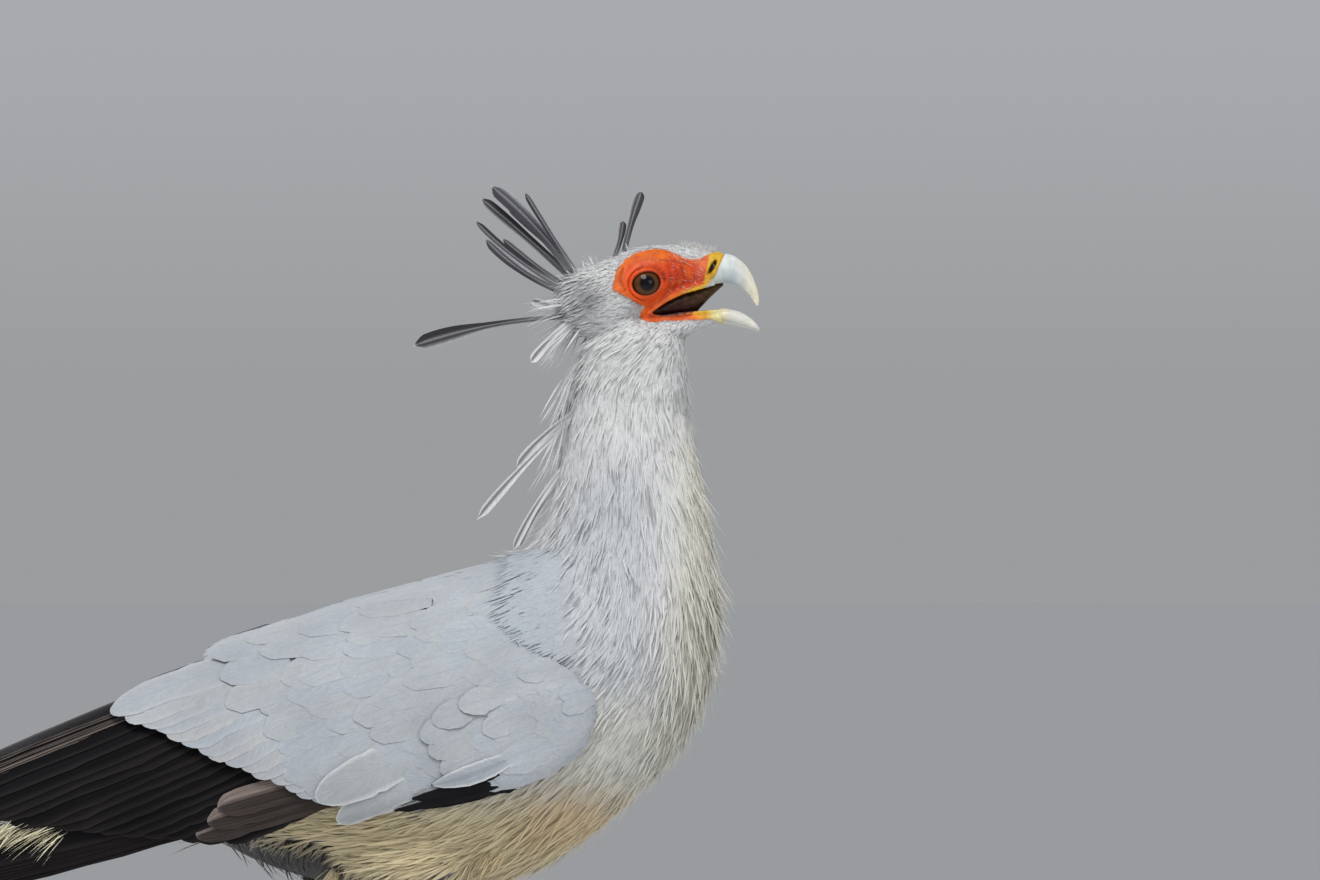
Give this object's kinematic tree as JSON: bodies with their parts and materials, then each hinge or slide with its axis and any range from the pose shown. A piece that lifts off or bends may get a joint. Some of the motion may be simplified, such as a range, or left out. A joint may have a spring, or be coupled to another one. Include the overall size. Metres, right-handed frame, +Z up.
{
  "type": "secretary bird",
  "caption": "Standing long-legged bird of prey with folded wings, a long tail, a loose crest and an open hooked bill.",
  "frame": {"origin": "on the floor under the middle of the outline", "axes": "+X the way the bird faces, +Y its left side, +Z up"},
  "size_m": [0.9998, 0.1838, 1.026],
  "materials": {
    "head_feathers": "matt feathers, with bare orange skin round the eye",
    "body_feathers": "matt soft feathers",
    "wing_feathers": "smooth matt feathers, grey above and black behind",
    "tail_feathers": "smooth matt feathers with dark bands",
    "thigh_feathers": "matt black feathers",
    "bill": "smooth horn",
    "eye": "wet and clear",
    "tongue": "moist skin",
    "leg_skin": "scaly skin",
    "claw": "worn horn"
  },
  "bodies": {
    "root": {"bill_lower": "bill", "bill_upper": "bill", "claw_left_hind": "claw", "claw_left_inner": "claw", "claw_left_middle": "claw", "claw_left_outer": "claw", "claw_right_hind": "claw", "claw_right_inner": "claw", "claw_right_middle": "claw", "claw_right_outer": "claw", "eye_left": "eye", "eye_right": "eye", "foot_left": "leg_skin", "foot_right": "leg_skin", "head": "head_feathers", "neck_lower": "body_feathers", "neck_upper": "body_feathers", "shank_left": "leg_skin", "shank_right": "leg_skin", "tail": "tail_feathers", "thigh_left": "thigh_feathers", "thigh_right": "thigh_feathers", "tongue": "tongue", "torso": "body_feathers", "wing_left": "wing_feathers", "wing_right": "wing_feathers"}
  },
  "joints": []
}
